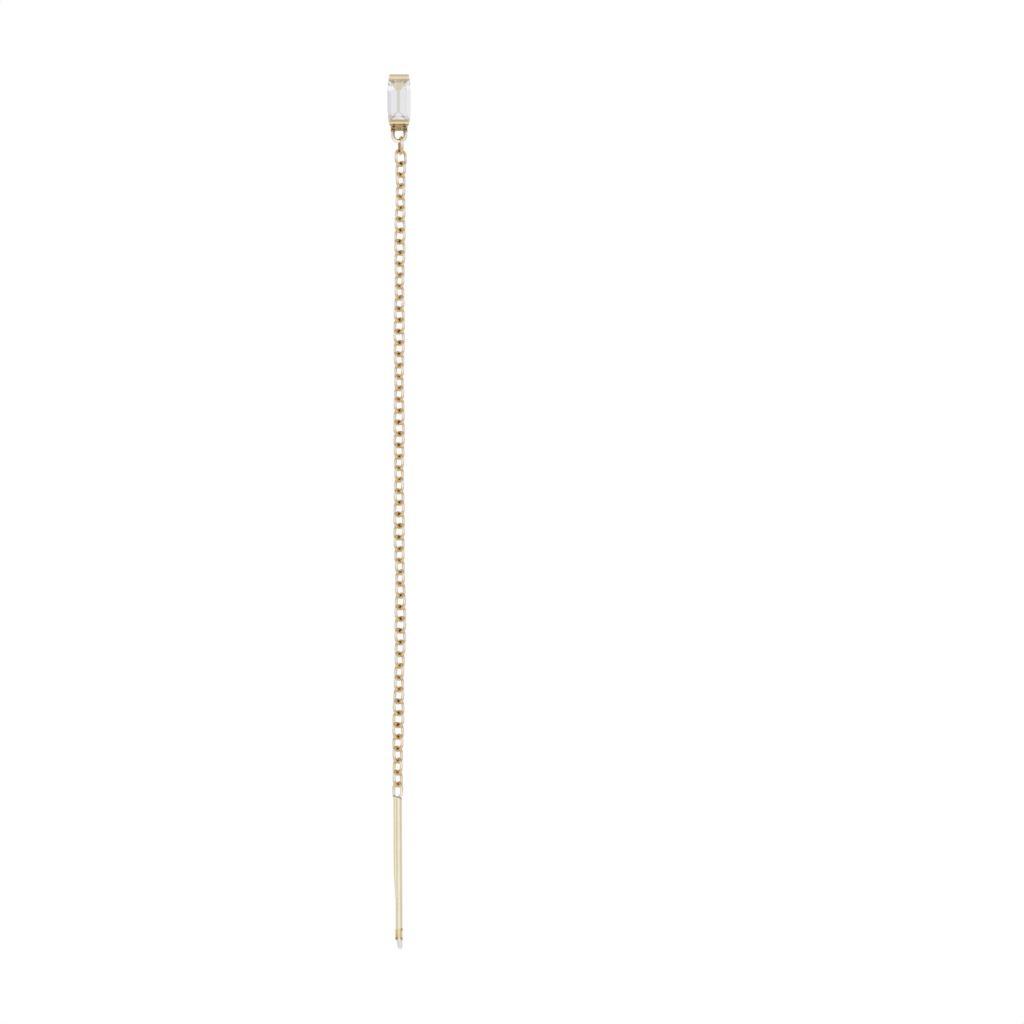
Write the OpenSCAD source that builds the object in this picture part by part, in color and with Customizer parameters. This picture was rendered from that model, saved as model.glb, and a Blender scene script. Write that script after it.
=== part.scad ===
// Threader earring: a baguette stone held by two end bars, a fine cable chain and a slim threader bar.
// Millimetres, +Z up. The front faces -Y and +X is to the right.
// The origin is the middle of the bail's wire, where the first ring hangs.

/* [Stone] */
// Length of the stone, along the earring
stone_length = 4; // [3:0.1:6]
// Width of the stone
stone_width = 2; // [1.6:0.1:3]
// Height of the crown, table to girdle
crown_height = 0.25; // [0.15:0.01:0.35]
// How far the table's long sides stand in from the girdle
crown_side_inset = 0.35; // [0.2:0.01:0.5]
// How far the table's ends stand in from the girdle
crown_end_inset = 0.5; // [0.3:0.01:0.6]
// Thickness of the girdle
girdle_height = 0.06; // [0.03:0.01:0.12]
// Depth of the pavilion, girdle to keel
pavilion_depth = 0.85; // [0.6:0.01:0.95]
// Width of the flat keel
keel_width = 0.3; // [0.1:0.01:0.5]
// How far the keel stands off centre
keel_offset = 0.07; // [0:0.01:0.1]
// How far the keel's ends stand in from the girdle
keel_end_inset = 1.03; // [0.7:0.01:1.3]
// Length of the slight narrowing at each end of the stone
stone_taper_length = 1.2; // [0.4:0.05:1.4]
// How much each side of the stone narrows towards its ends
stone_taper = 0.11; // [0.02:0.01:0.14]

/* [Setting] */
// Width of the two end bars
bar_width = 1.7; // [1.5:0.05:2.4]
// Height of each end bar as seen from the front
bar_height = 0.45; // [0.4:0.01:0.6]
// Depth of each end bar, front to back
bar_depth = 0.5; // [0.4:0.01:0.7]
// Radius of the rounding along the bars' front edges
bar_round = 0.14; // [0.05:0.01:0.18]
// Radius of the bars' rounded ends as seen from the front
bar_end_round = 0.12; // [0.03:0.01:0.15]
// How far the stone's table lies behind the front of the bars
table_recess = 0.12; // [0.08:0.01:0.25]
// Depth of the basket, from the bars' front to the middle of the base frame
basket_depth = 1.62; // [1.6:0.02:2.2]
// Thickness of the two end walls
wall_thickness = 0.24; // [0.16:0.01:0.35]
// Gap all round between the stone and the metal
stone_gap = 0.03; // [0.02:0.01:0.06]
// Outer width of the base frame behind the stone
frame_width = 1.4; // [1.3:0.05:1.8]
// Thickness of the square wire of the base frame
frame_wire = 0.28; // [0.2:0.01:0.34]
// Width of the struts left between the piercings of each end wall
strut_width = 0.13; // [0.08:0.01:0.18]

/* [Bail] */
// Thickness of the bail's wire
bail_wire = 0.36; // [0.24:0.01:0.4]
// Outer width of the bail
bail_width = 1.42; // [1.3:0.01:1.6]
// Distance from the middle of the bail's lowest wire up to the basket
bail_drop = 0.99; // [0.9:0.01:1.6]

/* [Chain] */
// Thickness of the wire of the links and rings
link_wire = 0.26; // [0.2:0.005:0.28]
// Outer width of a link
link_width = 1.22; // [1.15:0.01:1.3]
// Distance from one link to the next, pulled straight
link_pitch = 1.0044; // [0.9:0.0002:1.2]
// Distance that each of the two upper rings takes up
ring_pitch = 1.095; // [1:0.005:1.3]
// Number of links between the upper rings and the threader bar
link_count = 54; // [20:1:90]
// Gap between wires that hang in each other
link_gap = 0.1; // [0.1:0.01:0.12]
// Turn of every other link out of the front plane
link_turn = 45; // [40:1:50]
// Largest extra turn of a single link
link_twist = 7; // [0:1:10]
// Turn of the upper ring, which shows its edge
upper_ring_turn = -75; // [-85:1:-70]
// Turn of the lower ring, which shows more of its face
lower_ring_turn = 30; // [0:1:40]

/* [Threader bar] */
// Diameter of the round shaft
shaft_diameter = 0.58; // [0.5:0.01:0.8]
// Length of the shaft, from the middle of its slanted top to the collar
shaft_length = 11.04; // [8:0.1:25]
// Slope of the top of the shaft and its wire, under the end ring
top_slope = 20; // [0:1:30]
// Diameter of the wire soldered along the shaft
rib_wire = 0.3; // [0.2:0.01:0.4]
// Length of the straight stretch of that wire
rib_length = 5.94; // [3:0.1:7]
// Length of the slant on which it is filed off, down to the shaft
rib_runout = 2.41; // [1.5:0.05:3]
// Place of that wire round the shaft, measured from +X
rib_angle = 205; // [180:1:250]
// How deep that wire is sunk into the shaft
rib_sink = 0.13; // [0.08:0.01:0.16]
// Diameter of the collar near the point
collar_diameter = 0.6; // [0.58:0.01:0.9]
// Length of the collar
collar_length = 0.78; // [0.4:0.02:1.5]
// How far the collar stands off centre
collar_offset = 0.02; // [0:0.01:0.08]
// Diameter of the point where it leaves the collar
point_diameter = 0.5; // [0.4:0.01:0.55]
// Diameter of the point's rounded end
point_end_diameter = 0.38; // [0.2:0.01:0.4]
// Length of the point beyond the collar
point_length = 0.79; // [0.5:0.02:1.5]
// How far the point stands off centre
point_offset = 0.03; // [0:0.01:0.07]
// Sideways lean of the point against the shaft
point_lean = 4; // [0:0.5:8]
// Sideways lean of the threader bar
bar_lean = 0.25; // [0:0.05:1]

/* [Hidden] */

GOLD = [0.86, 0.75, 0.50];
STONE_TINT = [0.90, 0.91, 0.93];

wire_fn = 24;
sweep_fn = 48;

// How far cutting shapes reach past what they cut
beyond = 1;

// Step between the uneven turns of neighbouring links, in degrees
twist_step = 137;

// Share of its wire by which the shaft's top lies below the inside of the end ring
ring_seat = 0.37;

// Way of the chain as it hangs: distance below the origin, then place to the right
CHAIN_ROUTE = [
    [0, 0.14], [3, 0.14], [5.3, 0.12], [7.5, 0.08], [12, 0.04], [18, 0], [31, 0], [36, 0.01],
    [38.4, 0.08], [40.6, 0.11], [42.7, 0.1], [44.9, 0.08], [47, 0], [49, -0.03], [51.2, -0.07],
    [53.4, -0.11], [60, -0.12]
];

// Places along the depth of the setting, front to back
table_y = table_recess - basket_depth;
girdle_front_y = table_y + crown_height;
girdle_back_y = girdle_front_y + girdle_height;
frame_back_y = frame_wire / 2;

// Places along the height of the setting
basket_bottom_z = bail_drop;
stone_bottom_z = basket_bottom_z + wall_thickness + stone_gap;
stone_middle_z = stone_bottom_z + stone_length / 2;
basket_top_z = stone_bottom_z + stone_length + stone_gap + wall_thickness;

// Wires of the links: the middle line of the rings, and the room inside a link
link_radius = (link_width - link_wire) / 2;
bail_radius = (bail_width - bail_wire) / 2;
link_inside = link_pitch + link_gap;
ring_inside = ring_pitch + link_gap;

// Heights of the places where one wire hangs in the next, without the gaps
bail_hold_z = bail_wire / 2;
lower_ring_hold_z = bail_hold_z - ring_pitch;
chain_hold_z = lower_ring_hold_z - ring_pitch;
end_ring_hold_z = chain_hold_z - link_count * link_pitch;

// The threader bar hangs from the last link and ends in its own ring
end_ring_z = end_ring_hold_z - link_pitch / 2;
end_ring_x = route_x(end_ring_z);
shaft_top_z = end_ring_hold_z - link_pitch - link_gap / 2 - ring_seat * link_wire;
rib_offset = (shaft_diameter + rib_wire) / 2 - rib_sink;
rib_runout_angle = atan((rib_wire - rib_sink) / rib_runout);

// Shift of the shaft that puts the shaft and its rib together under the middle of the end ring
shaft_shift = ((rib_wire - shaft_diameter) / 2 - rib_offset * cos(rib_angle)) / 2;

// Place of the chain to the right of the origin at a height below it
function route_x(z) = lookup(-z, CHAIN_ROUTE);

// Turn of one link about the vertical, alternate links turned each way
function turn_of(index) =
    ((link_count - index) % 2 == 1 ? link_turn : -link_turn) + link_twist * sin(index * twist_step);

// Profile of the stone across or along it, with the keel at the back
function stone_profile(half, table_inset, keel_half, keel_shift, grow) = [
    [half - table_inset + grow, table_y - grow],
    [half + grow, girdle_front_y - grow / 2],
    [half + grow, girdle_back_y],
    [keel_half + grow - keel_shift, girdle_back_y + pavilion_depth + grow],
    [-keel_half - grow - keel_shift, girdle_back_y + pavilion_depth + grow],
    [-half - grow, girdle_back_y],
    [-half - grow, girdle_front_y - grow / 2],
    [table_inset - half - grow, table_y - grow]
];

// The stone's solid, grown on all sides by the amount given
module stone_solid(grow) {
    half_w = stone_width / 2;
    half_l = stone_length / 2;
    narrow_w = half_w - stone_taper + grow;
    straight_l = half_l - stone_taper_length;
    keel_l = half_l - keel_end_inset;
    translate([0, 0, stone_middle_z])
        intersection() {
            linear_extrude(height = stone_length + beyond, center = true)
                polygon(stone_profile(half_w, crown_side_inset, keel_width / 2, keel_offset, grow));
            rotate([0, -90, 0])
                linear_extrude(height = stone_width + beyond, center = true)
                    polygon(stone_profile(half_l, crown_end_inset, keel_l, 0, grow));
            rotate([90, 0, 0])
                linear_extrude(height = 2 * (basket_depth + beyond), center = true)
                    polygon([
                        [half_w + grow, -straight_l], [half_w + grow, straight_l],
                        [narrow_w, half_l + grow], [-narrow_w, half_l + grow],
                        [-half_w - grow, straight_l], [-half_w - grow, -straight_l],
                        [-narrow_w, -half_l - grow], [narrow_w, -half_l - grow]
                    ]);
        }
}

// Rectangle with one corner at the origin and rounded corners on its near side only
module front_rounded(depth, height, radius) {
    translate([radius, radius])
        circle(r = radius, $fn = wire_fn);
    translate([radius, height - radius])
        circle(r = radius, $fn = wire_fn);
    translate([0, radius])
        square([radius, height - 2 * radius]);
    translate([radius, 0])
        square([depth - radius, height]);
}

// Rectangle about the origin with all corners rounded
module rounded_rectangle(width, height, radius) {
    square([width - 2 * radius, height], center = true);
    square([width, height - 2 * radius], center = true);
    for (side = [-1, 1], end = [-1, 1])
        translate([side * (width / 2 - radius), end * (height / 2 - radius)])
            circle(r = radius, $fn = wire_fn);
}

// One end bar with its outer face at height zero, reaching up
module end_bar() {
    intersection() {
        translate([-bar_width / 2, -basket_depth, 0])
            rotate([90, 0, 90])
                linear_extrude(height = bar_width)
                    front_rounded(bar_depth, bar_height, bar_round);
        translate([0, -basket_depth / 2, bar_height / 2])
            rotate([90, 0, 0])
                linear_extrude(height = basket_depth + beyond, center = true)
                    rounded_rectangle(bar_width, bar_height, bar_end_round);
    }
}

// Outline of an end wall seen along the earring, without its piercings
module wall_outline() {
    front_y = bar_depth / 2 - basket_depth;
    polygon([
        [-bar_width / 2 + bar_end_round, front_y], [bar_width / 2 - bar_end_round, front_y],
        [frame_width / 2, frame_back_y], [-frame_width / 2, frame_back_y]
    ]);
}

// Piercings of an end wall: two triangles behind the bar and two before the frame, with struts between
module wall_piercings() {
    front_y = bar_depth - basket_depth;
    back_y = -frame_wire / 2;
    middle_y = (front_y + back_y) / 2;
    wide = frame_width / 2 - strut_width;
    narrow = strut_width / 2;
    for (side = [-1, 1]) {
        polygon([
            [side * wide, front_y], [side * (narrow + strut_width), front_y],
            [side * (wide - 0.5 * strut_width), middle_y + strut_width]
        ]);
        polygon([
            [side * (wide - 1.5 * strut_width), back_y], [side * narrow, back_y],
            [side * narrow, middle_y - strut_width]
        ]);
    }
}

// One end wall with its outer face at height zero, reaching up
module end_wall() {
    linear_extrude(height = wall_thickness)
        difference() {
            wall_outline();
            wall_piercings();
        }
}

// End bar and end wall together
module end_cap() {
    end_bar();
    end_wall();
}

// Square wire frame behind the stone
module base_frame() {
    height = basket_top_z - basket_bottom_z;
    translate([-frame_width / 2, -frame_wire / 2, basket_bottom_z])
        difference() {
            cube([frame_width, frame_wire, height]);
            translate([frame_wire, -frame_wire, frame_wire])
                cube([frame_width - 2 * frame_wire, 3 * frame_wire, height - 2 * frame_wire]);
        }
}

// Upper half of a round wire ring in the XZ plane
module half_ring(radius, wire) {
    rotate([90, 0, 0])
        rotate_extrude(angle = 180, $fn = sweep_fn)
            translate([radius, 0])
                circle(d = wire, $fn = wire_fn);
}

// Bail: a wire bow under the basket
module bail() {
    translate([0, 0, bail_radius]) {
        mirror([0, 0, 1])
            half_ring(bail_radius, bail_wire);
        for (side = [-1, 1])
            translate([side * bail_radius, 0, 0])
                cylinder(d = bail_wire, h = bail_drop - bail_radius + frame_wire / 2, $fn = wire_fn);
    }
}

// Long round link about the origin, in the XZ plane
module link(inside) {
    straight = inside + 2 * link_wire - link_width;
    for (end = [0, 1])
        mirror([0, 0, end])
            translate([0, 0, straight / 2])
                half_ring(link_radius, link_wire);
    for (side = [-1, 1])
        translate([side * link_radius, 0, -straight / 2])
            cylinder(d = link_wire, h = straight, $fn = wire_fn);
}

// Link at its place on the chain's way
module hung_link(z, inside, turn) {
    translate([route_x(z), 0, z])
        rotate([0, 0, turn])
            link(inside);
}

// Two-bar setting with its basket and bail, one casting
module setting() {
    color(GOLD)
        union() {
            difference() {
                union() {
                    translate([0, 0, basket_bottom_z])
                        end_cap();
                    translate([0, 0, basket_top_z])
                        mirror([0, 0, 1])
                            end_cap();
                    base_frame();
                }
                stone_solid(stone_gap);
            }
            bail();
        }
}

// Baguette stone with a flat table and a narrow flat keel
module stone() {
    color(STONE_TINT)
        stone_solid(0);
}

// Ring that hangs in the bail
module upper_ring() {
    color(GOLD)
        hung_link(bail_hold_z - ring_pitch / 2, ring_inside, upper_ring_turn);
}

// Ring below it, which carries the chain
module lower_ring() {
    color(GOLD)
        hung_link(lower_ring_hold_z - ring_pitch / 2, ring_inside, lower_ring_turn);
}

// Cable chain of equal links
module chain() {
    color(GOLD)
        for (index = [0 : link_count - 1])
            hung_link(chain_hold_z - (index + 0.5) * link_pitch, link_inside, turn_of(index));
}

// Wire along the shaft, filed off on a long slant at its lower end, and reaching above height zero
module rib() {
    reach = rib_length + rib_runout;
    rotate([0, 0, rib_angle])
        translate([rib_offset, 0, 0])
            difference() {
                translate([0, 0, -reach])
                    cylinder(d = rib_wire, h = reach + shaft_diameter, $fn = wire_fn);
                translate([rib_wire / 2, 0, -rib_length])
                    rotate([0, rib_runout_angle, 0])
                        translate([0, -rib_wire, -2 * rib_runout])
                            cube([rib_wire, 2 * rib_wire, 2 * rib_runout]);
            }
}

// Round shaft and the wire along it under one slanted top, standing on the shaft's lower end
module shaft() {
    reach = 2 * shaft_diameter;
    difference() {
        union() {
            cylinder(d = shaft_diameter, h = shaft_length + shaft_diameter, $fn = sweep_fn);
            translate([0, 0, shaft_length])
                rib();
        }
        translate([0, 0, shaft_length])
            rotate([0, top_slope, 0])
                translate([-reach, -reach, 0])
                    cube(2 * reach);
    }
}

// Tapered point with a rounded end, hanging down from height zero
module point() {
    ball = point_end_diameter / 2;
    translate([0, 0, ball - point_length]) {
        cylinder(r1 = ball, d2 = point_diameter, h = point_length - ball, $fn = wire_fn);
        sphere(r = ball, $fn = wire_fn);
    }
}

// Threader bar with its end ring, one soldered piece
module threader_bar() {
    shaft_bottom_z = shaft_top_z - shaft_length;
    color(GOLD)
        translate([end_ring_x, 0, 0])
            union() {
                translate([0, 0, end_ring_z])
                    rotate([0, 0, turn_of(link_count)])
                        link(link_inside);
                translate([0, 0, shaft_top_z])
                    rotate([0, -bar_lean, 0])
                        translate([shaft_shift, 0, -shaft_length]) {
                            shaft();
                            translate([-collar_offset, 0, -collar_length])
                                cylinder(d = collar_diameter, h = collar_length, $fn = sweep_fn);
                            translate([point_offset, 0, -collar_length])
                                rotate([0, -point_lean, 0])
                                    point();
                        }
            }
}

setting();
stone();
upper_ring();
lower_ring();
chain();
threader_bar();
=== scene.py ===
import math
from collections import namedtuple

import bmesh
import bpy
import numpy as np
from mathutils import Matrix, Vector


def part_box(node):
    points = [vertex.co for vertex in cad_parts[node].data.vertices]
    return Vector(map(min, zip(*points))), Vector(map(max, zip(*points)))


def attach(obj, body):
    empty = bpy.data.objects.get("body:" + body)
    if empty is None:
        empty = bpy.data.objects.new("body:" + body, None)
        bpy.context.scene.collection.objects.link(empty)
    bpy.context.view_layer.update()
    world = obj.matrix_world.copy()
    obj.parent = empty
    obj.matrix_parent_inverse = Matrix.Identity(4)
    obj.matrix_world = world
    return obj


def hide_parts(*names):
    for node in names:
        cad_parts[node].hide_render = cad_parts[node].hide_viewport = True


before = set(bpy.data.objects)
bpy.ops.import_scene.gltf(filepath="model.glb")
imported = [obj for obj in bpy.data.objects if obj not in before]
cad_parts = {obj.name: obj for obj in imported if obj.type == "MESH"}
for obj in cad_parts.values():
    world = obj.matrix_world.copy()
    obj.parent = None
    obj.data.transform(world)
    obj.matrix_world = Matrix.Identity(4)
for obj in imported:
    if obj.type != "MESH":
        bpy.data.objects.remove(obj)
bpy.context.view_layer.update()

# Threader earring: the finish of the metal and the stone, the camera and the studio.
# Metres, +Z up, the front faces -Y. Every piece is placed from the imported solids.

MM = 0.001

# Camera, as the photograph was taken: below the earring's middle and looking up. The focal length
# and the earring's column are in pixels of the photograph, the sensor's width in millimetres
IMAGE_SIDE = 1024
CAMERA_DISTANCE = 390 * MM
CAMERA_TILT = math.radians(16)
CAMERA_AIM_Z = -32.99 * MM
FOCAL_PIXELS = 4665
EARRING_COLUMN = 399.1
SENSOR = 36

# Floor: its height and the length of its sides
FLOOR_Z = -165 * MM
FLOOR_SIDE = 6.0

# Studio: its light all round, and soft areas of another colour as the metal and the stone reflect them,
# each with its direction, the angles in degrees at which it is full and gone, and its colour
STUDIO_LIGHT = (0.83, 0.83, 0.85)
SURROUNDINGS = [
    ((0, -1, -0.1), 18, 27, (1.0, 1.0, 1.0)),
    ((0, -0.4, -1), 30, 60, (0.98, 0.98, 0.98)),
    ((0, -0.3, 1), 20, 52, (0.50, 0.42, 0.32)),
    ((0.94, -0.34, 0.1), 8, 28, (0.58, 0.54, 0.49)),
    ((-0.94, -0.34, 0.1), 8, 28, (0.58, 0.54, 0.49)),
    ((0.70, -0.40, 0.59), 14, 26, (0.89, 0.89, 0.89)),
    ((-0.70, -0.40, 0.59), 14, 26, (0.89, 0.89, 0.89)),
    ((0, 1, 0.4), 12, 26, (0.66, 0.655, 0.60)),
    ((0, 1, -0.35), 12, 30, (0.74, 0.65, 0.46)),
]

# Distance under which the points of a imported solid's mesh are joined
WELD = 0.001 * MM

# Wire rings: radius of their bows, steps round a ring and round its wire
BOW_RADIUS = 0.46 * MM
RING_STEPS = 48
WIRE_SIDES = 14

# Share of a link's half height over which its wire grows warmer towards its bows, a painted reflection and
# shade of gold on gold where links cross
BOW_START = 0.3
BOW_END = 0.6

# How much the side of a wire that faces into its ring is darkened by painted shade: chain, upper ring,
# lower ring
LINK_INSIDE = 0.12
UPPER_INSIDE = 0.75
LOWER_INSIDE = 0.3

# Where that darkening starts and is full: 0 is the middle of the wire's side, 1 its innermost line
INSIDE_START = 0.1
INSIDE_FULL = 0.8

# Distances from the touching point of two wires, in wire thicknesses, at which
# the painted shade around that touch is full and gone
CONTACT_SHADE_FULL = 0.3
CONTACT_SHADE_GONE = 0.75

# Cast and soldered pieces are fused over a fine grid, in millimetres, and softened:
# the strength and the number of the rounds of softening
GRID = 0.025
SOFTENING = 0.5
SOFTENING_ROUNDS = 3

# Painted shade in the hollows between the forms of a fused piece: rounds of averaging, and the depths
# at which it starts and is full
HOLLOW_ROUNDS = 14
HOLLOW_START = 0.001 * MM
HOLLOW_FULL = 0.009 * MM

# Setting, in millimetres: height of the basket's underside, size of the lower bar, top of the inner walls
# painted bright as painted light, length of the painted shade down the bail's legs below the basket, the
# height over which the painted shade of the underside ends, and the width of its darker painted shade
# along the back edge
BASKET_Z = 0.99
BAR_HEIGHT = 0.45
BAR_DEPTH = 0.5
WALL_TOP = 2.2
LEG_SHADE_LENGTH = 0.3
UNDERSIDE_RISE = 0.04
UNDERSIDE_EDGE = 0.25

# Tilt of the lower bar's face, the share of the bar's depth behind which it fades,
# and the rise of a normal over which a face of the basket belongs to an inner wall painted bright
BAR_TILT = math.radians(8)
TILT_FADE = 0.4
WALL_SLOPE = 0.2

# Painted shade beside the bail's legs on the basket's underside, in millimetres: its place across,
# the distances from it at which it is full and gone, and the depths at which it fades and ends
SIDE_SHADE_X = 0.44
SIDE_SHADE_FULL = 0.06
SIDE_SHADE_GONE = 0.18
SIDE_SHADE_FADE = 0.4
SIDE_SHADE_END = 0.8

# Solder at the two ends of the bail, in millimetres, and the sides and rows of its round faces
BAIL_LEG_X = 0.53
SOLDER_RADIUS = 0.2
SOLDER_REACH = 0.02
SOLDER_SIDES = 24
SOLDER_ROWS = 16

# Threader bar: lengths of its parts from the tip up, the slope of its top, the widths of the dark line
# painted along its top and of the bands at the collar's ends, and how much of the painted shade of a
# hollow shows along the shaft
POINT_LENGTH = 0.79 * MM
COLLAR_LENGTH = 0.78 * MM
SHAFT_LENGTH = 11.04 * MM
TOP_SLOPE = math.radians(20)
SEAM = 0.12 * MM
COLLAR_SEAM = 0.16 * MM
CREASE = 0.4

# Places across the bar count from -1 at the collar's left edge to 1 at its right edge.
# Painted dark reflections at the collar's corners: the depth in a band at the collar's end and the places
# across at which they start and are full, and their strength and reach to the left in the collar's upper
# half
CORNER_FULL = 0.6
CORNER_START_X = 0.2
CORNER_FULL_X = 0.8
UPPER_CORNER = 0.7
UPPER_START_X = -1.5
UPPER_FULL_X = 0.3

# Places across at which the painted warm reflections on the rib and on the collar's left side start and
# are full
RIB_START_X = -0.7
RIB_FULL_X = -1
COLLAR_START_X = 0.3
COLLAR_FULL_X = -0.7

# Stone: refractive index, width of the ground edges between its facets, the angle under which
# faces are one facet, and the slope under which a facet is girdle
STONE_INDEX = 1.77
FACET_EDGE = 0.02 * MM
FACET_ANGLE = math.radians(1)
GIRDLE_SLOPE = 0.1

# An upright wire ring: its place, its turn, the heights of its ends, its width and its wire's thickness
Ring = namedtuple("Ring", "x y turn top bottom width wire")


def smooth_step(start, end, value):
    """Rises smoothly from 0 at the start to 1 at the end."""
    share = min(max((value - start) / (end - start), 0), 1)
    return share * share * (3 - 2 * share)


def link_to_scene(thing):
    """Puts a new object into the scene and gives it back."""
    bpy.context.scene.collection.objects.link(thing)
    return thing


def mesh_piece(name, bm, body, replaced, materials, smooth=True):
    """Turns a bmesh into a piece that rides on a body and stands for a solid."""
    bmesh.ops.recalc_face_normals(bm, faces=bm.faces)
    for face in bm.faces:
        face.smooth = smooth
    mesh = bpy.data.meshes.new(name)
    bm.to_mesh(mesh)
    bm.free()
    for material in materials:
        mesh.materials.append(material)
    piece = link_to_scene(bpy.data.objects.new(name, mesh))
    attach(piece, body)
    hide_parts(replaced)


def solid_copy(node):
    """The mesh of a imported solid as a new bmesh, with its seams closed."""
    bm = bmesh.new()
    bm.from_mesh(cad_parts[node].data)
    bmesh.ops.remove_doubles(bm, verts=bm.verts, dist=WELD)
    return bm


def loose_solids(node):
    """Points of each loose solid of a node, the highest solid first."""
    bm = solid_copy(node)
    reached = set()
    solids = []
    for first in bm.verts:
        if first in reached:
            continue
        reached.add(first)
        waiting = [first]
        points = []
        while waiting:
            vert = waiting.pop()
            points.append(vert.co[:])
            for edge in vert.link_edges:
                other = edge.other_vert(vert)
                if other not in reached:
                    reached.add(other)
                    waiting.append(other)
        solids.append(np.array(points))
    bm.free()
    return sorted(solids, key=lambda solid: -solid[:, 2].max())


def ring_of(points):
    """Place, turn and size of an upright wire ring, read from the points of its solid."""
    low, high = points.min(0), points.max(0)
    x, y = (low[:2] + high[:2]) / 2
    flat = points[:, :2] - (x, y)
    spread = np.cov(flat.T)
    turn = math.atan2(2 * spread[0, 1], spread[0, 0] - spread[1, 1]) / 2
    along = flat @ (math.cos(turn), math.sin(turn))
    across = flat @ (-math.sin(turn), math.cos(turn))
    return Ring(x, y, turn, high[2], low[2], np.ptp(along), np.ptp(across))


def resting(rings, held_by):
    """The rings pulled tight: each one's upper bow comes down until it rests on the wire that holds it."""
    tight = []
    for ring in rings:
        tight.append(ring._replace(top=held_by + ring.wire))
        held_by = ring.bottom + ring.wire
    return tight


def oval(half_width, half_height):
    """Centre line of a wire ring as pairs of an outward direction and a point, drawn as four arcs."""
    bow_z = half_height - BOW_RADIUS
    spare = half_width - BOW_RADIUS
    side_x = (bow_z ** 2 - spare ** 2) / (2 * spare)
    join = math.atan2(bow_z, side_x)
    line = []
    for step in range(RING_STEPS):
        angle = 2 * math.pi * (step + 0.5) / RING_STEPS
        outward = Vector((math.cos(angle), math.sin(angle)))
        if abs(outward.y) > math.sin(join):
            middle, radius = Vector((0, math.copysign(bow_z, outward.y))), BOW_RADIUS
        else:
            middle, radius = Vector((math.copysign(side_x, -outward.x), 0)), half_width + side_x
        line.append((outward, middle + outward * radius))
    return line


def add_ring(bm, ring, shade):
    """Adds one wire ring to a bmesh, warmer in its bows as painted reflection, darker inside as painted
    shade, and darkest as painted shade where it touches the next ring.
    """
    warmth = bm.verts.layers.float["warmth"]
    nest = bm.verts.layers.float["nest"]
    side = Vector((math.cos(ring.turn), math.sin(ring.turn), 0))
    normal = Vector((-math.sin(ring.turn), math.cos(ring.turn), 0))
    up = Vector((0, 0, 1))
    centre = Vector((ring.x, ring.y, (ring.top + ring.bottom) / 2))
    half_height = (ring.top - ring.bottom - ring.wire) / 2
    touch_z = half_height - ring.wire / 2
    loops = []
    for outward, point in oval((ring.width - ring.wire) / 2, half_height):
        out = side * outward.x + up * outward.y
        middle = centre + side * point.x + up * point.y
        bow = smooth_step(BOW_START, BOW_END, abs(point.y) / half_height)
        touch = centre + up * math.copysign(touch_z, point.y)
        loop = []
        for corner in range(WIRE_SIDES):
            round_wire = 2 * math.pi * corner / WIRE_SIDES
            offset = out * math.cos(round_wire) + normal * math.sin(round_wire)
            vert = bm.verts.new(middle + offset * ring.wire / 2)
            # Painted shade on the wire's inner side, painted warm reflection in the bows, darkest painted
            # shade near the touch
            inside = shade * smooth_step(INSIDE_START, INSIDE_FULL, -math.cos(round_wire))
            vert[warmth] = bow
            vert[nest] = max(inside, contact_shade(vert.co, touch, ring.wire))
            loop.append(vert)
        loops.append(loop)
    for index, loop in enumerate(loops):
        after = loops[(index + 1) % len(loops)]
        for corner in range(WIRE_SIDES):
            across = (corner + 1) % WIRE_SIDES
            bm.faces.new((loop[corner], loop[across], after[across], after[corner]))


def ring_mesh(rings, shade):
    """A bmesh of wire rings, with the painted shade of their inner sides."""
    bm = bmesh.new()
    for layer in ("warmth", "nest"):
        bm.verts.layers.float.new(layer)
    for ring in rings:
        add_ring(bm, ring, shade)
    return bm


def fused(name, bm):
    """Fuses overlapping solids, given in metres, into one skin with softly rounded edges and joints."""
    bmesh.ops.scale(bm, vec=(1 / MM, 1 / MM, 1 / MM), verts=bm.verts)
    rough = bpy.data.meshes.new(name + "_rough")
    bm.to_mesh(rough)
    bm.free()
    work = link_to_scene(bpy.data.objects.new(name + "_work", rough))
    fuse = work.modifiers.new("fuse", "REMESH")
    fuse.mode = "VOXEL"
    fuse.voxel_size = GRID
    soften = work.modifiers.new("soften", "SMOOTH")
    soften.factor = SOFTENING
    soften.iterations = SOFTENING_ROUNDS
    graph = bpy.context.evaluated_depsgraph_get()
    skin = bmesh.new()
    skin.from_object(work, graph)
    bpy.data.objects.remove(work)
    bpy.data.meshes.remove(rough)
    bmesh.ops.scale(skin, vec=(MM, MM, MM), verts=skin.verts)
    return skin


def paint_hollows(skin):
    """Paints how deep each point of a fused skin lies in a hollow, as a bmesh layer that carries painted
    shade.
    """
    skin.normal_update()
    skin.verts.index_update()
    points = np.array([vert.co for vert in skin.verts])
    normals = np.array([vert.normal for vert in skin.verts])
    ends = np.array([[vert.index for vert in edge.verts] for edge in skin.edges])
    one, other = np.concatenate((ends, ends[:, ::-1])).T
    neighbours = np.bincount(one, minlength=len(points))
    evened = points
    for _ in range(HOLLOW_ROUNDS):
        columns = [np.bincount(one, evened[other, axis], len(points)) / neighbours for axis in range(3)]
        evened = np.stack(columns, axis=1)
    depths = ((evened - points) * normals).sum(axis=1)
    nest = skin.verts.layers.float.new("nest")
    for vert, depth in zip(skin.verts, depths):
        vert[nest] = smooth_step(HOLLOW_START, HOLLOW_FULL, depth)
    return nest


def contact_shade(point, touch, wire):
    """How much a point is darkened by painted shade near the touching point of two wires."""
    return smooth_step(CONTACT_SHADE_GONE, CONTACT_SHADE_FULL, (point - touch).length / wire)


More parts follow.
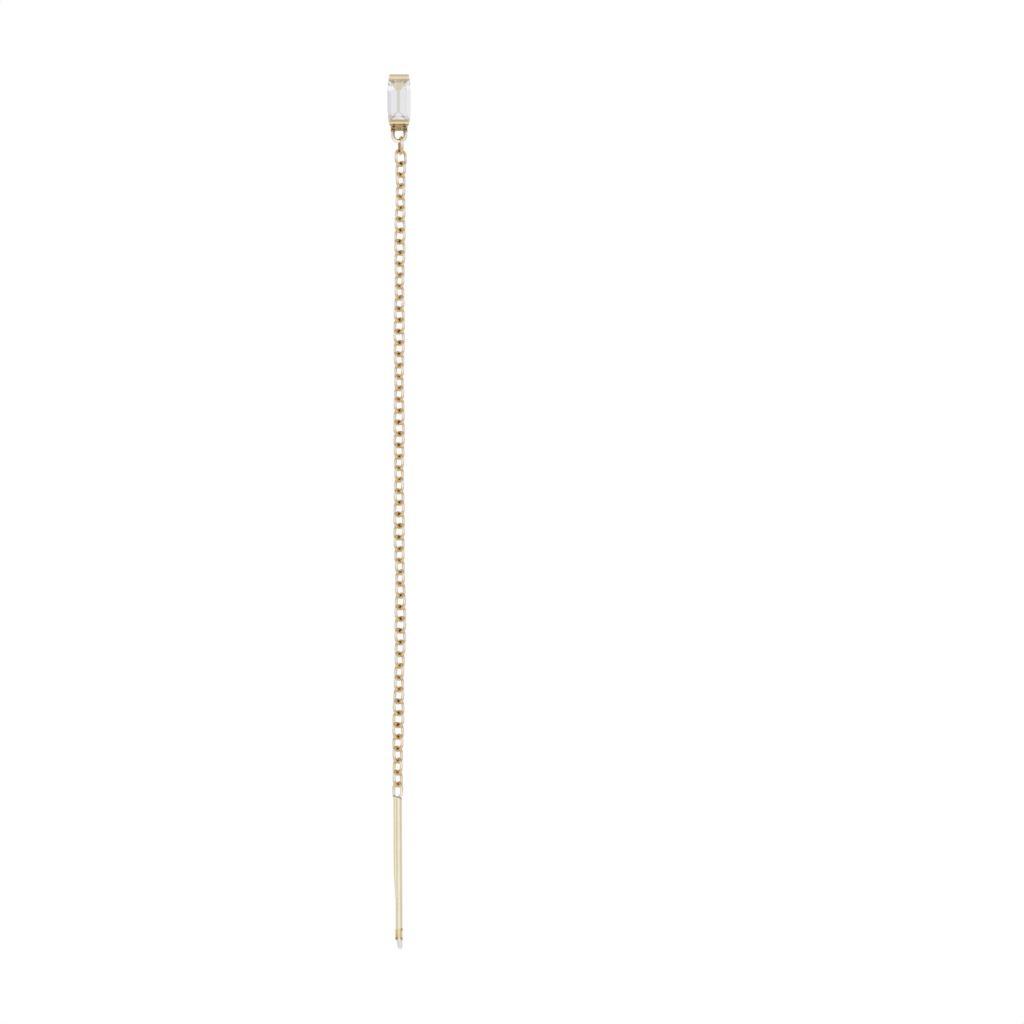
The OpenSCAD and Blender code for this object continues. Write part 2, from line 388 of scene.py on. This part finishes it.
def make_setting(wire_gold):
    """Two-bar setting with its basket and bail, with solder where the bail meets the basket."""
    bm = solid_copy("setting")
    for side in (-1, 1):
        place = Matrix.Translation((side * BAIL_LEG_X * MM, 0, (BASKET_Z - SOLDER_REACH) * MM))
        bmesh.ops.create_uvsphere(
            bm, u_segments=SOLDER_SIDES, v_segments=SOLDER_ROWS, radius=SOLDER_RADIUS * MM, matrix=place)
    skin = fused("setting", bm)
    nest = paint_hollows(skin)
    warmth = skin.verts.layers.float.new("warmth")
    front_y, back_y = [corner.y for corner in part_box("setting")]
    bail_wire = -2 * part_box("setting")[0].z
    touch = Vector((0, 0, bail_wire / 2))
    bar_middle = (BASKET_Z + BAR_HEIGHT / 2) * MM
    for vert in skin.verts:
        height = vert.co.z - bar_middle
        behind = (vert.co.y - front_y) / (BAR_DEPTH * MM)
        if abs(height) < BAR_HEIGHT * MM:
            vert.co.y += math.tan(BAR_TILT) * height * (1 - smooth_step(TILT_FADE, 1, behind))
        # Painted shade where the upper ring rests on the bail
        vert[nest] = max(vert[nest], contact_shade(vert.co, touch, bail_wire))
        x, y, z = vert.co / MM
        # Basket's underside: brown painted shade, darker painted shade beside the bail's legs and along
        # the back edge
        if z > BASKET_Z - UNDERSIDE_RISE:
            underside = smooth_step(BASKET_Z + UNDERSIDE_RISE, BASKET_Z, z)
            beside = smooth_step(SIDE_SHADE_GONE, SIDE_SHADE_FULL, abs(abs(x) - SIDE_SHADE_X))
            side_shade = beside * smooth_step(SIDE_SHADE_END, SIDE_SHADE_FADE, y - front_y / MM)
            edge = smooth_step(UNDERSIDE_EDGE, 0, back_y / MM - y)
            vert[nest] = max(vert[nest], underside * max(side_shade, edge))
            vert[warmth] = underside
        else:
            # Painted shade down the tops of the bail's legs, under the basket
            leg_shade = smooth_step(BASKET_Z - LEG_SHADE_LENGTH, BASKET_Z, z)
            vert[nest] = max(vert[nest], leg_shade)
    skin.normal_update()
    for face in skin.faces:
        z = face.calc_center_median().z / MM
        # Inner walls facing the stone take the near-white gold, as painted light
        inner_wall = face.normal.z > WALL_SLOPE and BASKET_Z + UNDERSIDE_RISE < z < WALL_TOP
        face.material_index = 0
        if z < BASKET_Z - UNDERSIDE_RISE:
            face.material_index = 1
        elif inner_wall:
            face.material_index = 2
    finishes = [setting_gold(), wire_gold, painted_light_wall_gold()]
    mesh_piece("setting_casting", skin, "earring", "setting", finishes)


def make_stone():
    """Baguette stone with fine ground edges between its facets."""
    bm = solid_copy("stone")
    bmesh.ops.dissolve_limit(bm, angle_limit=FACET_ANGLE, verts=bm.verts, edges=bm.edges)
    bmesh.ops.bevel(bm, geom=list(bm.edges), offset=FACET_EDGE, segments=1, affect="EDGES")
    bm.normal_update()
    for face in bm.faces:
        face.material_index = int(abs(face.normal.y) < GIRDLE_SLOPE)
    finishes = [clear_stone(), ground_girdle()]
    mesh_piece("cut_stone", bm, "earring", "stone", finishes, smooth=False)


def make_rings(wire_gold):
    """The two rings under the bail and the chain, all pulled tight; gives back the last link."""
    rings = [ring_of(loose_solids(node)[0]) for node in ("upper_ring", "lower_ring")]
    links = [ring_of(points) for points in loose_solids("chain")]
    bail_top = -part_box("setting")[0].z
    tight = resting(rings + links, bail_top)
    for name, ring, shade in zip(("upper_ring", "lower_ring"), tight, (UPPER_INSIDE, LOWER_INSIDE)):
        mesh_piece(name + "_wire", ring_mesh([ring], shade), "earring", name, [wire_gold])
    links = ring_mesh(tight[len(rings):], LINK_INSIDE)
    mesh_piece("chain_links", links, "earring", "chain", [wire_gold])
    return tight[-1]


def make_threader_bar(last_link, wire_gold):
    """Threader bar with its end ring, whose upper bow rests on the last link."""
    bm = solid_copy("threader_bar")
    low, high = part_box("threader_bar")
    collar_bottom = low.z + POINT_LENGTH
    collar_top = collar_bottom + COLLAR_LENGTH
    shaft_top = collar_top + SHAFT_LENGTH
    bow_bottom = high.z - last_link.wire
    slack = high.z - (last_link.bottom + 2 * last_link.wire)
    for vert in bm.verts:
        vert.co.z -= slack * smooth_step(shaft_top, bow_bottom, vert.co.z)
    skin = fused("threader_bar", bm)
    nest = paint_hollows(skin)
    warmth = skin.verts.layers.float.new("warmth")
    collar = np.array([vert.co.x for vert in skin.verts if collar_bottom < vert.co.z < collar_top])
    collar_x = (collar.min() + collar.max()) / 2
    collar_radius = (collar.max() - collar.min()) / 2
    touch = Vector((last_link.x, last_link.y, last_link.bottom + last_link.wire))
    for vert in skin.verts:
        x, _, z = vert.co
        side = (x - collar_x) / collar_radius
        top_z = shaft_top - math.tan(TOP_SLOPE) * (x - last_link.x)
        seams = max(1 - abs(z - collar_top) / COLLAR_SEAM, 1 - abs(z - collar_bottom) / COLLAR_SEAM)
        # Dark line painted along the slanted top, and painted dark reflections at the collar's corners
        rim = max(1 - abs(z - top_z) / SEAM, 0)
        corner = smooth_step(0, CORNER_FULL, seams)
        corner *= smooth_step(CORNER_START_X, CORNER_FULL_X, abs(side))
        if z > (collar_bottom + collar_top) / 2:
            corner *= UPPER_CORNER * smooth_step(UPPER_START_X, UPPER_FULL_X, side)
        hollow = vert[nest]
        # Painted shade in hollows and where the end ring touches the last link
        vert[nest] = max(hollow, rim, corner, contact_shade(vert.co, touch, last_link.wire))
        if z > shaft_top:
            # Painted warm reflection in the end ring's bows
            vert[warmth] = smooth_step(shaft_top + 2 * last_link.wire, bow_bottom, z)
        elif z > collar_top:
            # Along the shaft: part of the hollows' painted shade, and a painted yellow reflection along
            # the rib
            vert[nest] = max(CREASE * hollow, rim, corner)
            vert[warmth] = smooth_step(RIB_START_X, RIB_FULL_X, side)
        else:
            # Painted warm reflection on the left side of the collar and the point
            to_the_left = smooth_step(COLLAR_START_X, COLLAR_FULL_X, side)
            vert[warmth] = to_the_left * smooth_step(collar_top, collar_bottom, z)
    for face in skin.faces:
        z = face.calc_center_median().z
        zones = (z > shaft_top, z > collar_top, z > collar_bottom)
        face.material_index = zones.count(False)
    finishes = [wire_gold, bar_gold(), collar_gold(), point_gold()]
    mesh_piece("threader_bar_body", skin, "bar", "threader_bar", finishes)


def new_group(name, inputs, outputs):
    """Shader node group with named sockets, and the sockets of its input and output nodes."""
    group = bpy.data.node_groups.new(name, "ShaderNodeTree")
    for label, kind in inputs:
        group.interface.new_socket(label, in_out="INPUT", socket_type="NodeSocket" + kind)
    for label, kind in outputs:
        group.interface.new_socket(label, in_out="OUTPUT", socket_type="NodeSocket" + kind)
    return group, group.nodes.new("NodeGroupInput").outputs, group.nodes.new("NodeGroupOutput").inputs


def polish_and_shade_group():
    """Hand-polished gold: patches of tone and gloss, painted warm reflection and shade, deeper painted
    shade in hollows and where parts touch, and fine polishing marks.
    """
    group, given, wanted = new_group(
        "polish_and_painted_shade",
        [("Tone", "Color"), ("Patch Tone", "Color"), ("Warm Tone", "Color"), ("Shading Tone", "Color"),
         ("Warmth", "Float"), ("Nest", "Float"), ("Patch Scale", "Float"),
         ("Gloss Low", "Float"), ("Gloss High", "Float")],
        [("Color", "Color"), ("Roughness", "Float"), ("Height", "Float")],
    )
    nodes, join = group.nodes, group.links.new
    place = nodes.new("ShaderNodeTexCoord")
    patches = nodes.new("ShaderNodeTexNoise")
    patches.inputs["Detail"].default_value = 2
    join(place.outputs["Object"], patches.inputs["Vector"])
    join(given["Patch Scale"], patches.inputs["Scale"])
    share = nodes.new("ShaderNodeMapRange")
    share.inputs["From Min"].default_value = 0.35
    share.inputs["From Max"].default_value = 0.65
    join(patches.outputs["Fac"], share.inputs["Value"])
    tone = nodes.new("ShaderNodeMixRGB")
    join(share.outputs["Result"], tone.inputs["Fac"])
    join(given["Tone"], tone.inputs["Color1"])
    join(given["Patch Tone"], tone.inputs["Color2"])
    warm = nodes.new("ShaderNodeMixRGB")
    join(given["Warmth"], warm.inputs["Fac"])
    join(tone.outputs["Color"], warm.inputs["Color1"])
    join(given["Warm Tone"], warm.inputs["Color2"])
    deep = nodes.new("ShaderNodeMixRGB")
    join(given["Nest"], deep.inputs["Fac"])
    join(warm.outputs["Color"], deep.inputs["Color1"])
    join(given["Shading Tone"], deep.inputs["Color2"])
    join(deep.outputs["Color"], wanted["Color"])
    gloss = nodes.new("ShaderNodeMapRange")
    join(patches.outputs["Fac"], gloss.inputs["Value"])
    join(given["Gloss Low"], gloss.inputs["To Min"])
    join(given["Gloss High"], gloss.inputs["To Max"])
    join(gloss.outputs["Result"], wanted["Roughness"])
    marks = nodes.new("ShaderNodeTexNoise")
    marks.inputs["Scale"].default_value = 9000
    marks.inputs["Detail"].default_value = 3
    join(place.outputs["Object"], marks.inputs["Vector"])
    join(marks.outputs["Fac"], wanted["Height"])


def gold_material(name, tones, patch_scale, gloss):
    """Gold with the hand polish, in its own tones: plain, in patches, in the painted warm reflection and
    shade of bows and undersides, and in the deeper painted shade of hollows.
    """
    material = bpy.data.materials.new(name)
    material.use_nodes = True
    nodes, join = material.node_tree.nodes, material.node_tree.links.new
    shader = nodes["Principled BSDF"]
    shader.inputs["Metallic"].default_value = 1
    polish = nodes.new("ShaderNodeGroup")
    polish.node_tree = bpy.data.node_groups["polish_and_painted_shade"]
    for label in ("Warmth", "Nest"):
        painted = nodes.new("ShaderNodeAttribute")
        painted.attribute_name = label.lower()
        join(painted.outputs["Fac"], polish.inputs[label])
    for label, tone in zip(("Tone", "Patch Tone", "Warm Tone", "Shading Tone"), tones):
        polish.inputs[label].default_value = (*tone, 1)
    polish.inputs["Patch Scale"].default_value = patch_scale
    polish.inputs["Gloss Low"].default_value = gloss[0]
    polish.inputs["Gloss High"].default_value = gloss[1]
    bump = nodes.new("ShaderNodeBump")
    bump.inputs["Strength"].default_value = 0.5
    bump.inputs["Distance"].default_value = 0.002 * MM
    join(polish.outputs["Color"], shader.inputs["Base Color"])
    join(polish.outputs["Roughness"], shader.inputs["Roughness"])
    join(polish.outputs["Height"], bump.inputs["Height"])
    join(bump.outputs["Normal"], shader.inputs["Normal"])
    return material


def setting_gold():
    """Yellow gold of the setting, with brown painted shade on the basket's underside and deeper painted
    shade in its hollows.
    """
    tones = (0.88, 0.76, 0.50), (0.82, 0.70, 0.46), (0.53, 0.39, 0.22), (0.19, 0.11, 0.04)
    return gold_material("setting_gold", tones, patch_scale=2600, gloss=(0.08, 0.2))


def painted_light_wall_gold():
    """Gold of the walls that face the stone, painted near white as painted light."""
    tones = (0.98, 0.96, 0.92), (0.96, 0.93, 0.88), (0.90, 0.82, 0.66), (0.80, 0.70, 0.52)
    return gold_material("painted_light_wall_gold", tones, patch_scale=2600, gloss=(0.08, 0.2))


def chain_gold():
    """Pale gold of the wires, yellower in their bows as painted reflection, and brown as painted shade
    where they touch.
    """
    tones = (0.99, 0.93, 0.81), (0.94, 0.86, 0.71), (0.76, 0.57, 0.33), (0.26, 0.15, 0.07)
    return gold_material("chain_gold", tones, patch_scale=3000, gloss=(0.08, 0.22))


def bar_gold():
    """Soft pale gold of the threader bar: its own gold, made paler as a painted highlight of the strong
    light on its front.
    """
    tones = (0.96, 0.91, 0.71), (0.93, 0.87, 0.65), (0.97, 0.87, 0.60), (0.34, 0.21, 0.10)
    return gold_material("bar_gold", tones, patch_scale=1400, gloss=(0.12, 0.26))


def collar_gold():
    """Warmer gold of the collar, with a deeper warm painted reflection on its left side."""
    tones = (0.95, 0.80, 0.53), (0.88, 0.70, 0.42), (0.76, 0.57, 0.20), (0.28, 0.18, 0.08)
    return gold_material("collar_gold", tones, patch_scale=3000, gloss=(0.12, 0.26))


def point_gold():
    """Nearly white metal of the point."""
    tones = (1.0, 0.99, 0.94), (0.98, 0.96, 0.90), (0.92, 0.90, 0.83), (0.70, 0.60, 0.45)
    return gold_material("point_gold", tones, patch_scale=3000, gloss=(0.45, 0.6))


def haze_group():
    """Breath of haze in a stone, between two tones."""
    group, given, wanted = new_group(
        "stone_haze",
        [("Tone", "Color"), ("Haze Tone", "Color"), ("Scale", "Float")],
        [("Color", "Color")],
    )
    nodes, join = group.nodes, group.links.new
    place = nodes.new("ShaderNodeTexCoord")
    haze = nodes.new("ShaderNodeTexNoise")
    haze.inputs["Detail"].default_value = 2
    join(place.outputs["Object"], haze.inputs["Vector"])
    join(given["Scale"], haze.inputs["Scale"])
    tint = nodes.new("ShaderNodeMixRGB")
    join(haze.outputs["Fac"], tint.inputs["Fac"])
    join(given["Tone"], tint.inputs["Color1"])
    join(given["Haze Tone"], tint.inputs["Color2"])
    join(tint.outputs["Color"], wanted["Color"])


def stone_material(name, tones, roughness):
    """Clear stone with a breath of haze."""
    material = bpy.data.materials.new(name)
    material.use_nodes = True
    nodes, join = material.node_tree.nodes, material.node_tree.links.new
    shader = nodes["Principled BSDF"]
    shader.inputs["Roughness"].default_value = roughness
    shader.inputs["IOR"].default_value = STONE_INDEX
    shader.inputs["Transmission Weight"].default_value = 1
    haze = nodes.new("ShaderNodeGroup")
    haze.node_tree = bpy.data.node_groups["stone_haze"]
    haze.inputs["Tone"].default_value = (*tones[0], 1)
    haze.inputs["Haze Tone"].default_value = (*tones[1], 1)
    haze.inputs["Scale"].default_value = 900
    join(haze.outputs["Color"], shader.inputs["Base Color"])
    return material


def clear_stone():
    """Polished facets of the colourless stone."""
    tones = (0.97, 0.975, 0.985), (0.92, 0.92, 0.93)
    return stone_material("clear_stone", tones, roughness=0)


def ground_girdle():
    """Unpolished girdle of the stone, with a warm tint painted as the gold's reflection."""
    tones = (0.95, 0.92, 0.86), (0.88, 0.84, 0.76)
    return stone_material("ground_girdle", tones, roughness=0.5)


def pale_floor():
    """Plain pale floor with a faint grain."""
    material = bpy.data.materials.new("pale_floor")
    material.use_nodes = True
    nodes, join = material.node_tree.nodes, material.node_tree.links.new
    shader = nodes["Principled BSDF"]
    shader.inputs["Roughness"].default_value = 0.8
    place = nodes.new("ShaderNodeTexCoord")
    grain = nodes.new("ShaderNodeTexNoise")
    grain.inputs["Scale"].default_value = 40
    tint = nodes.new("ShaderNodeMixRGB")
    tint.inputs["Color1"].default_value = (0.97, 0.97, 0.97, 1)
    tint.inputs["Color2"].default_value = (0.92, 0.92, 0.92, 1)
    join(place.outputs["Object"], grain.inputs["Vector"])
    join(grain.outputs["Fac"], tint.inputs["Fac"])
    join(tint.outputs["Color"], shader.inputs["Base Color"])
    return material


def make_camera():
    """Camera below the earring's middle, looking up at it."""
    data = bpy.data.cameras.new("camera")
    data.sensor_width = SENSOR
    data.lens = FOCAL_PIXELS / IMAGE_SIDE * SENSOR
    data.shift_x = (IMAGE_SIDE / 2 - EARRING_COLUMN) / IMAGE_SIDE
    data.clip_start = 0.01
    data.clip_end = 20
    camera = link_to_scene(bpy.data.objects.new("camera", data))
    back = CAMERA_DISTANCE * math.cos(CAMERA_TILT)
    down = CAMERA_DISTANCE * math.sin(CAMERA_TILT)
    camera.location = (0, -back, CAMERA_AIM_Z - down)
    camera.rotation_euler = (math.pi / 2 + CAMERA_TILT, 0, 0)
    bpy.context.scene.camera = camera


def studio_colour(tree):
    """Colour of the studio in each direction, as the metal and the stone reflect it."""
    place = tree.nodes.new("ShaderNodeTexCoord")
    colour = None
    for direction, full_angle, gone_angle, tone in SURROUNDINGS:
        facing = tree.nodes.new("ShaderNodeVectorMath")
        facing.operation = "DOT_PRODUCT"
        facing.inputs[1].default_value = Vector(direction).normalized()
        tree.links.new(place.outputs["Generated"], facing.inputs[0])
        edge = tree.nodes.new("ShaderNodeMapRange")
        edge.interpolation_type = "SMOOTHSTEP"
        edge.inputs["From Min"].default_value = math.cos(math.radians(gone_angle))
        edge.inputs["From Max"].default_value = math.cos(math.radians(full_angle))
        tree.links.new(facing.outputs["Value"], edge.inputs["Value"])
        mix = tree.nodes.new("ShaderNodeMixRGB")
        mix.inputs["Color1"].default_value = (*STUDIO_LIGHT, 1)
        mix.inputs["Color2"].default_value = (*tone, 1)
        tree.links.new(edge.outputs["Result"], mix.inputs["Fac"])
        if colour is not None:
            tree.links.new(colour, mix.inputs["Color1"])
        colour = mix.outputs["Color"]
    return colour


def make_studio():
    """Soft light all round, a white backdrop and a pale floor."""
    scene = bpy.context.scene
    scene.view_settings.view_transform = "Standard"
    scene.cycles.max_bounces = 32
    scene.cycles.transmission_bounces = 32
    scene.cycles.glossy_bounces = 10
    world = bpy.data.worlds.new("studio")
    scene.world = world
    world.use_nodes = True
    tree = world.node_tree
    seen = tree.nodes.new("ShaderNodeLightPath")
    backdrop = tree.nodes.new("ShaderNodeMixRGB")
    backdrop.inputs["Color2"].default_value = (1, 1, 1, 1)
    tree.links.new(seen.outputs["Is Camera Ray"], backdrop.inputs["Fac"])
    tree.links.new(studio_colour(tree), backdrop.inputs["Color1"])
    tree.links.new(backdrop.outputs["Color"], tree.nodes["Background"].inputs["Color"])
    bm = bmesh.new()
    bmesh.ops.create_grid(bm, x_segments=1, y_segments=1, size=FLOOR_SIDE / 2)
    mesh = bpy.data.meshes.new("floor")
    bm.to_mesh(mesh)
    bm.free()
    mesh.materials.append(pale_floor())
    floor = link_to_scene(bpy.data.objects.new("floor", mesh))
    floor.location.z = FLOOR_Z
    floor.visible_glossy = False
    floor.visible_transmission = False


make_camera()
make_studio()
polish_and_shade_group()
haze_group()
wire_gold = chain_gold()
make_setting(wire_gold)
make_stone()
last_link = make_rings(wire_gold)
make_threader_bar(last_link, wire_gold)
